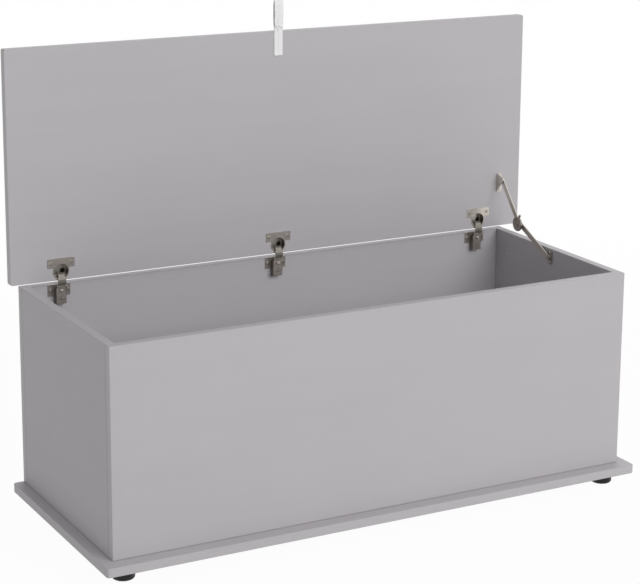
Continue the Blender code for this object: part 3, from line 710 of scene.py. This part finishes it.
class Bench:
    """The moves of modelling by hand that the pieces use."""

    @staticmethod
    def clear() -> None:
        """Leave edit mode and deselect everything, so that an operator acts only on what is picked."""
        if bpy.context.object and bpy.context.object.mode != "OBJECT":
            bpy.ops.object.mode_set(mode="OBJECT")
        bpy.ops.object.select_all(action="DESELECT")

    @staticmethod
    def pick(piece: Thing) -> None:
        """Select a piece alone and make it the active one.

        Args:
            piece: the piece.
        """
        Bench.clear()
        piece.select_set(True)
        bpy.context.view_layer.objects.active = piece

    @staticmethod
    def named(name: str) -> Thing:
        """Name the primitive that was just added, and its mesh.

        Args:
            name: the new name.

        Returns:
            The piece.
        """
        piece = bpy.context.object
        piece.name = name
        piece.data.name = name
        return piece

    @staticmethod
    def select(piece: Thing, kind: str, test: Callable[..., bool]) -> None:
        """Select the faces or edges that pass a test, and nothing else.

        Args:
            piece: the piece, in edit mode.
            kind: "FACE" or "EDGE".
            test: what is asked of each.
        """
        bpy.ops.mesh.select_mode(type=kind)
        bpy.ops.mesh.select_all(action="DESELECT")
        shape = bmesh.from_edit_mesh(piece.data)
        for part in shape.faces if kind == "FACE" else shape.edges:
            if test(part):
                part.select_set(True)
        bmesh.update_edit_mesh(piece.data)

    @staticmethod
    def modify(piece: Thing, kind: str, **settings: object) -> None:
        """Add a modifier with its settings, and apply it.

        Args:
            piece: the piece.
            kind: the modifier's type name.
            settings: its settings by name.
        """
        Bench.pick(piece)
        change = piece.modifiers.new(kind.lower(), kind)
        for name, value in settings.items():
            setattr(change, name, value)
        bpy.ops.object.modifier_apply(modifier=change.name)

    @staticmethod
    def settle(piece: Thing) -> None:
        """Put a piece's place, turn and size into its mesh, and leave it picked."""
        Bench.pick(piece)
        bpy.ops.object.transform_apply(location=True, rotation=True, scale=True)


def enter(piece: Thing, body: Body, material: Material, smooth_deg: float = 35.0) -> None:
    """Dress a finished piece and attach it to its body.

    Args:
        piece: the piece, its place in its mesh.
        body: what it moves with.
        material: its finish.
        smooth_deg: edges flatter than this are shaded smooth.
    """
    piece.data.materials.clear()
    piece.data.materials.append(material)
    Bench.pick(piece)
    bpy.ops.object.shade_smooth_by_angle(angle=math.radians(smooth_deg))
    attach(piece, body.value)
    LOG.info("%s rides on %s, %d faces", piece.name, body.value, len(piece.data.polygons))


def dress(name: str, material: Material) -> None:
    """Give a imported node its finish.

    Args:
        name: the node's name.
        material: the finish.
    """
    node = NODES[name]
    if not node.material_slots:
        node.data.materials.append(material)
    for held in node.material_slots:
        held.material = material
    LOG.info("%s is dressed in %s", name, material.name)


# ---- screws ----


@dataclass(eq=False)
class Screw:
    """One kind of cross-head screw, modelled once and copied to each place."""

    name: str
    head_radius: float
    head_height: float
    round_over: float
    recess: float
    shank_radius: float
    shank_length: float
    sides: int = 28
    round_steps: int = 4
    slot_width_share: float = 0.36
    slot_depth_share: float = 1.1
    slot_turn_deg: float = 20.0
    downward: float = -0.9
    template: Thing | None = None

    def model(self) -> None:
        """Model the screw with its head upwards and its seat at the origin."""
        Bench.clear()
        bpy.ops.mesh.primitive_cylinder_add(vertices=self.sides, radius=self.head_radius,
                                            depth=self.head_height,
                                            location=(0, 0, self.head_height / 2))
        head = Bench.named(f"{self.name}_template")
        Bench.settle(head)
        bpy.ops.object.mode_set(mode="EDIT")
        half = self.head_height / 2
        Bench.select(head, "EDGE", lambda edge: min(end.co.z for end in edge.verts) > half)
        bpy.ops.mesh.bevel(offset=self.round_over, segments=self.round_steps, affect="EDGES")
        Bench.select(head, "FACE", lambda face: face.normal.z < self.downward)
        bpy.ops.mesh.inset(thickness=self.head_radius - self.shank_radius, depth=0.0)
        bpy.ops.mesh.extrude_region_move(TRANSFORM_OT_translate={"value": (0, 0, -self.shank_length)})
        Bench.clear()
        for turn in (0.0, math.pi / 2):
            blade = self.blade(turn + math.radians(self.slot_turn_deg))
            Bench.modify(head, "BOOLEAN", operation="DIFFERENCE", solver="EXACT", object=blade)
            bpy.data.objects.remove(blade, do_unlink=True)
        self.template = head

    def blade(self, turn: float) -> Thing:
        """The tool that cuts one slot of the cross.

        Args:
            turn: how far it is turned, in radians.

        Returns:
            The tool.
        """
        Bench.clear()
        width, depth = self.recess * self.slot_width_share, self.recess * self.slot_depth_share
        bpy.ops.mesh.primitive_cube_add(size=1.0, location=(0, 0, self.head_height),
                                        scale=(2 * self.recess, width, depth))
        blade = Bench.named("blade")
        blade.rotation_euler = (0, 0, turn)
        Bench.settle(blade)
        return blade

    def drive(self, name: str, seat: Place, turn_deg: float, body: Body, finish: Material,
              facing: Facing = Facing.FRONT) -> None:
        """Copy the modelled screw to a seat, with its own mesh, and dress it.

        Args:
            name: the copy's name.
            seat: the middle of the head's underside.
            turn_deg: how far the screw is turned about itself.
            body: what it moves with.
            finish: its finish.
            facing: where the head points.
        """
        mesh = self.template.data.copy()
        mesh.name = name
        aim = Vector((0, 0, 1)).rotation_difference(Vector(facing.value)).to_matrix().to_4x4()
        mesh.transform(Matrix.Translation(seat) @ aim @ Matrix.Rotation(math.radians(turn_deg), 4, "Z"))
        screw = bpy.data.objects.new(name, mesh)
        bpy.context.scene.collection.objects.link(screw)
        enter(screw, body, finish)

    def discard(self) -> None:
        """Throw the model away, once its copies are made."""
        bpy.data.objects.remove(self.template, do_unlink=True)


# ---- boards, cams and glides ----


@dataclass
class Boards:
    """The six faced boards, which stay as they are packed and get their facing."""

    names: tuple[str, ...] = ("base_board", "front_panel", "back_panel", "left_side_panel",
                              "right_side_panel", "lid_board")
    finish: FacedBoard = FacedBoard()

    def build(self) -> None:
        """Dress each board by its own box."""
        for name in self.names:
            dress(name, self.finish.make(name, *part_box(name)))


@dataclass
class CamFittings:
    """The cam fittings in the side panels."""

    prefix: str = "cam_"

    def build(self) -> None:
        """Give every cam its cast finish."""
        finish = CAST_ALLOY.make("cast alloy")
        for name in filter(lambda node: node.startswith(self.prefix), NODES):
            dress(name, finish)


@dataclass
class Glides:
    """The four moulded glides."""

    prefix: str = "glide_"

    def build(self) -> None:
        """Give every glide its moulded finish."""
        finish = MouldedPlastic().make("moulded plastic")
        for name in filter(lambda node: node.startswith(self.prefix), NODES):
            dress(name, finish)


# ---- hinges ----


@dataclass
class Hinges:
    """The three concealed cup hinges and their screws."""

    flange_screw_out: float = 0.0190
    flange_half_height: float = 0.00825
    flange_turns_deg: Span = (-15.0, 35.0)
    plate_screw_out: float = 0.0158
    plate_screw_below_rim: float = 0.0110
    plate_sheet: float = 0.0020
    plate_turns_deg: Span = (-40.0, 40.0)
    arm_web_depth: float = 0.0016
    arm_screw_below_rim: float = 0.0092
    arm_turn_deg: float = 12.0
    slot_screw_below_rim: float = 0.0240
    slot_turn_deg: float = 33.0
    # Where the painted shade in each cup's mouth lies, from the cup's middle and its lowest point.
    painted_shade_right: float = 0.0072
    painted_shade_up: float = 0.0125
    flange_screw: Screw = Screw("flange_screw", 0.0034, 0.0007, 0.0005, 0.0019, 0.0015, 0.0040)
    plate_screw: Screw = Screw("plate_screw", 0.0036, 0.0021, 0.0014, 0.0020, 0.0017, 0.0040)
    arm_screw: Screw = Screw("arm_screw", 0.0028, 0.0024, 0.0009, 0.0018, 0.0016, 0.0010)
    slot_screw: Screw = Screw("slot_screw", 0.0020, 0.0016, 0.0006, 0.0013, 0.0012, 0.0008)

    def build(self) -> None:
        """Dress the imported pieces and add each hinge's screws."""
        nickel = NICKEL.make("nickel plate")
        darkened = WORN_NICKEL.make("worn nickel")
        dull = DULL_SCREW.make("dull zinc")
        painted_glint = PAINTED_GLINT_SCREW.make("bright zinc")
        lid_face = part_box("lid_board")[0].y
        for place in HINGE_PLACES:
            dress(f"mounting_plate_{place}", nickel)
            low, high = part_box(f"hinge_arm_{place}")
            # The arm's channel gets painted shade on its side walls.
            handled = HANDLED_NICKEL.make(f"handled nickel {place}", shaded_walls=(low.x, high.x))
            dress(f"hinge_arm_{place}", handled)
            dress(f"hinge_link_{place}", darkened)
            # Each cup's mouth gets a dark spot of painted shade about the link's hook.
            low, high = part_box(f"hinge_cup_{place}")
            middle = (low.x + high.x) / 2
            spot = Vector((middle + self.painted_shade_right, lid_face, low.z + self.painted_shade_up))
            dress(f"hinge_cup_{place}", NICKEL.make(f"nickel cup {place}", spot))
        kinds = (self.flange_screw, self.plate_screw, self.arm_screw, self.slot_screw)
        for screw in kinds:
            screw.model()
        for place in HINGE_PLACES:
            self.screws(place, dull, painted_glint)
        for screw in kinds:
            screw.discard()

    def screws(self, place: str, dull: Material, painted_glint: Material) -> None:
        """Put in one hinge's screws.

        Args:
            place: which hinge.
            dull: the finish of all its screws but one.
            painted_glint: the finish of the screw on its arm, a brighter copy that paints a glint on
                it.
        """
        cup_low, cup_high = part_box(f"hinge_cup_{place}")
        x = (cup_low.x + cup_high.x) / 2
        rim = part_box("back_panel")[1].z
        flange_z = cup_high.z - self.flange_half_height
        plate_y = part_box(f"mounting_plate_{place}")[1].y - self.plate_sheet
        plate_z = rim - self.plate_screw_below_rim
        turns = zip(SIDES, self.flange_turns_deg, self.plate_turns_deg)
        for (side, sign), flange_turn, plate_turn in turns:
            seat = (x + sign * self.flange_screw_out, cup_low.y, flange_z)
            self.flange_screw.drive(f"flange_screw_{place}_{side}", seat, flange_turn, Body.LID, dull)
            seat = (x + sign * self.plate_screw_out, plate_y, plate_z)
            self.plate_screw.drive(f"plate_screw_{place}_{side}", seat, plate_turn, Body.CARCASS, dull)
        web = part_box(f"hinge_arm_{place}")[0].y + self.arm_web_depth
        seat = (x, web, rim - self.arm_screw_below_rim)
        # The arm screw is dressed brighter than the rest, as a painted glint.
        self.arm_screw.drive(f"arm_screw_{place}", seat, self.arm_turn_deg, Body.CARCASS, painted_glint)
        seat = (x, web, rim - self.slot_screw_below_rim)
        self.slot_screw.drive(f"slot_screw_{place}", seat, self.slot_turn_deg, Body.CARCASS, dull)


# ---- stay ----


@dataclass
class Stay:
    """The folding stay at the right: finishes and the screws of its brackets."""

    lid_bracket_sheet: float = 0.0015
    lid_screw_from_left: float = 0.0061
    lid_screw_from_end: float = 0.0050
    lid_turn_deg: float = 30.0
    wall_bracket_sheet: float = 0.0020
    wall_screw_from_end: float = 0.0040
    wall_turn_deg: float = 15.0
    screw: Screw = Screw("bracket_screw", 0.0026, 0.0013, 0.0009, 0.0016, 0.0014, 0.0040)

    def build(self) -> None:
        """Dress the stay and add its screws."""
        nickel = NICKEL.make("stay nickel")
        dark = DARK_STEEL.make("dark steel")
        lower = STAY_NICKEL.make("lower stay nickel")
        darkened = WORN_NICKEL.make("worn stay nickel")
        dull = DULL_SCREW.make("dull stay zinc")
        for name, finish in (("lid_bracket", nickel), ("upper_arm", nickel), ("wall_bracket", darkened),
                             ("lower_arm", lower), ("drum", dark), ("knob", dark)):
            dress(f"stay_{name}", finish)
        self.screw.model()
        low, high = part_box("stay_lid_bracket")
        x, y = low.x + self.lid_screw_from_left, high.y - self.lid_bracket_sheet
        heights = (low.z + self.lid_screw_from_end, high.z - self.lid_screw_from_end)
        for level, z in zip(LEVELS, heights):
            self.screw.drive(f"lid_bracket_screw_{level}", (x, y, z), self.lid_turn_deg, Body.LID,
                             nickel)
        low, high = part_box("stay_wall_bracket")
        x, y = high.x - self.wall_bracket_sheet, (low.y + high.y) / 2
        heights = (low.z + self.wall_screw_from_end, high.z - self.wall_screw_from_end)
        for level, z in zip(LEVELS, heights):
            self.screw.drive(f"wall_bracket_screw_{level}", (x, y, z), self.wall_turn_deg, Body.CARCASS,
                             dull, Facing.LEFT)
        self.screw.discard()


# ---- ribbon ----


@dataclass
class RibbonPull:
    """The ribbon: one length folded into a loop, both ends lying on the lid's face.

    The centre line is given in the side view and swept across the ribbon's width. A lengthwise
    crease divides it, and it is tucked slantwise where it leaves the lid's edge. Each tuck has
    its height above the edge at the ribbon's left, and its rise across the ribbon.
    """

    width: float = 0.0174
    ply: float = 0.00045
    seat_gap: float = 0.0002
    ply_gap: float = 0.0001
    half_gap: float = 0.0028
    tail: float = 0.0435
    tail_steps: int = 8
    tail_share: float = 0.95
    loop: float = 0.0573
    loop_start: float = 0.0012
    loop_shares: tuple[Span, ...] = ((0.10, 0.35), (0.24, 0.75), (0.45, 1.0), (0.72, 0.98),
                                     (0.90, 0.72), (0.98, 0.32))
    crease_share: float = 0.42
    crease_reach: float = 0.11
    lobe: float = 0.00066
    lobe_above: float = 0.00025
    left_tuck: Span = (0.0134, -0.020)
    left_tuck_end: float = 0.46
    right_tuck: Span = (0.0153, -0.0088)
    right_tuck_start: float = 0.36
    tuck: float = 0.0017
    tuck_width: float = 0.0015
    gather_top: float = 0.015
    gather_run: float = 0.012
    fade_run: float = 0.012
    hem: float = 0.0048
    hem_share: float = 0.7
    rows: int = 190
    columns: int = 20
    smooth_deg: float = 60.0

    def line(self) -> list[Vector]:
        """The centre line, from the back ply's lower end over the loop to the front ply's lower end.

        Returns:
            Evenly spaced points.
        """
        low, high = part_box("pull_strap")
        x = (low.x + high.x) / 2
        lid_low, lid_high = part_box("lid_board")
        edge = lid_high.z
        back_y = lid_low.y - self.seat_gap - self.ply / 2
        front_y = back_y - self.ply - self.ply_gap
        middle = (back_y + front_y) / 2
        start = edge + self.loop_start
        height = self.loop - self.loop_start
        tail = [step * self.tail / self.tail_steps for step in range(self.tail_steps + 1)]
        path = [Vector((x, back_y, edge - self.tail + rise)) for rise in tail]
        path += [Vector((x, middle + out * self.half_gap, start + share * height))
                 for share, out in self.loop_shares]
        path += [Vector((x, middle, start + height))]
        path += [Vector((x, middle - out * self.half_gap, start + share * height))
                 for share, out in reversed(self.loop_shares)]
        path += [Vector((x, front_y, edge - fall)) for fall in tail]
        return evenly(path, self.rows)

    def relief(self, share: float, above: float) -> float:
        """How far the front ply stands out at a place.

        Args:
            share: how far across the ribbon, from its left edge.
            above: how far above the lid's edge.

        Returns:
            The distance towards the room.
        """
        # Two soft lobes stand out on both sides of the flat crease.
        beside = 1.0 - math.exp(-((share - self.crease_share) / self.crease_reach) ** 2)
        lobe = self.lobe_above + (self.lobe - self.lobe_above) * self.gathered(above)
        out = lobe * beside * math.sin(math.pi * clamp(share)) ** 0.5
        for (height, rise), near in ((self.left_tuck, share < self.left_tuck_end),
                                     (self.right_tuck, share > self.right_tuck_start)):
            if near:
                off_line = (above - height - rise * share) / self.tuck_width
                out += self.tuck * math.exp(-off_line ** 2)
        # The hem at the lower end is folded under.
        if above < self.hem - self.tail:
            out += self.ply * self.hem_share
        return out

    def gathered(self, above: float) -> float:
        """How far the ribbon is gathered at a height above the lid's edge, from 0 to 1."""
        part = clamp((self.gather_top - above) / self.gather_run)
        return part * part * (3.0 - 2.0 * part)

    def row(self, point: Vector, above: float, on_front: bool) -> list[Vector]:
        """One row of the sheet's points, from left to right.

        Args:
            point: where the centre line is.
            above: how far that is above the lid's edge.
            on_front: whether it is on the front ply.

        Returns:
            The points.
        """
        fade = clamp((self.loop - above) / self.fade_run) if on_front else 0.0
        width = self.width * (1.0 - (1.0 - self.tail_share) * self.gathered(above))
        shares = [column / self.columns for column in range(self.columns + 1)]
        return [point + Vector(((share - 0.5) * width, -self.relief(share, above) * fade, 0))
                for share in shares]

    def build(self) -> None:
        points = self.line()
        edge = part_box("lid_board")[1].z
        wide = self.columns + 1
        verts: list[Vector] = []
        spots: list[Span] = []
        run = 0.0
        for index, point in enumerate(points):
            if index:
                run += (point - points[index - 1]).length
            verts += self.row(point, point.z - edge, index > len(points) / 2)
            spots += [(column / self.columns, run) for column in range(wide)]
        corners = [row * wide + column for row in range(self.rows) for column in range(self.columns)]
        faces = [(first, first + 1, first + wide + 1, first + wide) for first in corners]
        mesh = bpy.data.meshes.new("ribbon_pull")
        mesh.from_pydata(verts, [], faces)
        layer = mesh.uv_layers.new(name="ribbon")
        for corner in mesh.loops:
            layer.data[corner.index].uv = spots[corner.vertex_index]
        piece = bpy.data.objects.new("ribbon_pull", mesh)
        bpy.context.scene.collection.objects.link(piece)
        Bench.modify(piece, "SOLIDIFY", thickness=self.ply, offset=0.0, use_even_offset=True)
        enter(piece, Body.LID, WovenRibbon().make("woven ribbon"), self.smooth_deg)
        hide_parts("pull_strap")


def evenly(points: Sequence[Vector], count: int, parts: int = 12) -> list[Vector]:
    """Space points evenly along the Catmull-Rom curve through a path's corners.

    Args:
        points: the path's corners.
        count: how many spaces there are between the points that come back.
        parts: how many straight parts stand for the curve between two corners.

    Returns:
        The spaced points.
    """
    smooth: list[Vector] = []
    for index in range(len(points) - 1):
        before = points[max(index - 1, 0)]
        first, last = points[index], points[index + 1]
        after = points[min(index + 2, len(points) - 1)]
        for part in range(parts):
            t = part / parts
            straight = 2 * first + (last - before) * t
            bent = (2 * before - 5 * first + 4 * last - after) * t * t
            twisted = (3 * first - before - 3 * last + after) * t ** 3
            smooth.append(0.5 * (straight + bent + twisted))
    smooth.append(points[-1].copy())
    lengths = [0.0]
    for first, last in zip(smooth, smooth[1:]):
        lengths.append(lengths[-1] + (last - first).length)
    spaced: list[Vector] = []
    cursor = 0
    for step in range(count + 1):
        goal = lengths[-1] * step / count
        while cursor < len(lengths) - 2 and lengths[cursor + 1] < goal:
            cursor += 1
        part = (goal - lengths[cursor]) / max(lengths[cursor + 1] - lengths[cursor], TINY)
        spaced.append(smooth[cursor].lerp(smooth[cursor + 1], clamp(part)))
    return spaced


# ---- studio ----


@dataclass(frozen=True)
class Lamp:
    """A soft rectangular lamp that faces a target."""

    name: str
    place: Place
    target: Place
    size: Span
    watts: float

    def build(self) -> None:
        """Hang the lamp."""
        data = bpy.data.lights.new(self.name, "AREA")
        data.shape = "RECTANGLE"
        data.size, data.size_y = self.size
        data.energy = self.watts
        lamp = bpy.data.objects.new(self.name, data)
        lamp.location = self.place
        aim = Vector(self.target) - Vector(self.place)
        lamp.rotation_euler = aim.to_track_quat("-Z", "Y").to_euler()
        lamp.visible_glossy = False
        bpy.context.scene.collection.objects.link(lamp)


@dataclass
class Studio:
    """The plain pale studio: floor, lamps, surroundings and the camera."""

    camera_place: Place = (-1.6361, -2.9711, 1.3063)
    yaw_deg: float = 28.5328
    pitch_deg: float = 13.1065
    roll_deg: float = 0.3745
    lens: float = 111.807
    sensor: float = 36.0
    shift: float = -0.12
    nearest: float = 0.1
    floor_size: float = 24.0
    floor_gap: float = 0.0004
    world_light: float = 0.357
    lamps: tuple[Lamp, ...] = (
        Lamp("key", (2.0, -7.4, 4.75), (0.0, 0.0, 0.35), (6.4, 5.2), 474.0),
        Lamp("low left", (-4.8, 0.45, 0.30), (-0.5, 0.2, 0.25), (0.7, 0.45), 12.0),
        Lamp("rear", (2.8, 4.2, 3.2), (0.0, 0.0, 0.35), (4.0, 3.0), 110.0))

    def build(self) -> None:
        """Set the stage."""
        self.floor()
        self.surroundings()
        for lamp in self.lamps:
            lamp.build()
        self.camera()
        bpy.context.scene.view_settings.view_transform = "Standard"

    def floor(self) -> None:
        """A wide floor just under the glides."""
        Bench.clear()
        bpy.ops.mesh.primitive_plane_add(size=self.floor_size, location=(0, 0, -self.floor_gap))
        floor = Bench.named("studio_floor")
        Bench.settle(floor)
        floor.data.materials.append(PaleFloor().make("pale floor"))

    def surroundings(self) -> None:
        """White to the camera and in reflections, a soft grey light otherwise."""
        world = bpy.data.worlds.new("studio")
        bpy.context.scene.world = world
        world.use_nodes = True
        graph = Graph(world.node_tree)
        grey = self.world_light
        strength = graph.math("MULTIPLY_ADD", graph.looked_at(), 1.0 - grey, grey)
        graph.fill(world.node_tree.nodes["Background"], {"Color": WHITE, "Strength": strength})

    def camera(self) -> None:
        """The camera at the photograph's angle."""
        data = bpy.data.cameras.new("camera")
        data.lens = self.lens
        data.sensor_width = self.sensor
        data.shift_y = self.shift
        data.clip_start = self.nearest
        camera = bpy.data.objects.new("camera", data)
        turn = (Matrix.Rotation(math.radians(-self.yaw_deg), 3, "Z")
                @ Matrix.Rotation(math.radians(90.0 - self.pitch_deg), 3, "X")
                @ Matrix.Rotation(math.radians(self.roll_deg), 3, "Z"))
        camera.location = self.camera_place
        camera.rotation_euler = turn.to_euler()
        bpy.context.scene.collection.objects.link(camera)
        bpy.context.scene.camera = camera


def main() -> None:
    """Build the looks in order."""
    for part in (Boards(), CamFittings(), Glides(), Hinges(), Stay(), RibbonPull(), Studio()):
        LOG.info("building %s", type(part).__name__)
        part.build()


if __name__ == "__main__":
    main()
